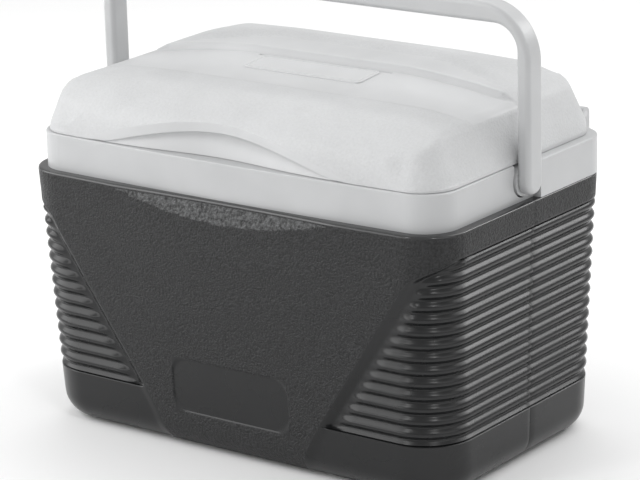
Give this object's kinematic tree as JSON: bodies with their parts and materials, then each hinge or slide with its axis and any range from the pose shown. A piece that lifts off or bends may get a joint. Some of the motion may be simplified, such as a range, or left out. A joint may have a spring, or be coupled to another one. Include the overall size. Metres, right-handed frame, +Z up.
{
  "type": "insulated food carrier",
  "caption": "Small hard-sided insulated carrier with a ribbed tapered body, a rear-hinged dome lid and a bail handle that folds forward.",
  "frame": {"origin": "middle of the flat underside, on the line below the handle's axis", "axes": "+Z up, X along the length, -Y the front, towards which the handle folds"},
  "size_m": [0.361, 0.2222, 0.3195],
  "materials": {
    "body_plastic": "fine grain with smooth borders",
    "trim_plastic": "satin",
    "lid_plastic": "grained with smooth panels",
    "liner_plastic": "smooth",
    "foam": "closed cell foam",
    "pin_steel": "plain"
  },
  "bodies": {
    "body": {"body_shell": "body_plastic", "body_foam": "foam", "inner_liner": "liner_plastic", "collar": "trim_plastic", "hinge_pins": "pin_steel"},
    "lid": {"lid_shell": "lid_plastic", "lid_foam": "foam", "lid_panel": "liner_plastic", "name_plate": "lid_plastic"},
    "bail": {"handle": "trim_plastic", "pivot_clips": "trim_plastic"}
  },
  "joints": [
    {"name": "lid_hinge", "type": "hinge", "parent": "body", "child": "lid", "pos_m": [0, 0.105, 0.219], "axis": [-1, 0, 0], "range_deg": [0, 22]},
    {"name": "handle_pivot", "type": "hinge", "parent": "body", "child": "bail", "pos_m": [0, 0, 0.1994], "axis": [1, 0, 0], "range_deg": [0, 92]}
  ]
}
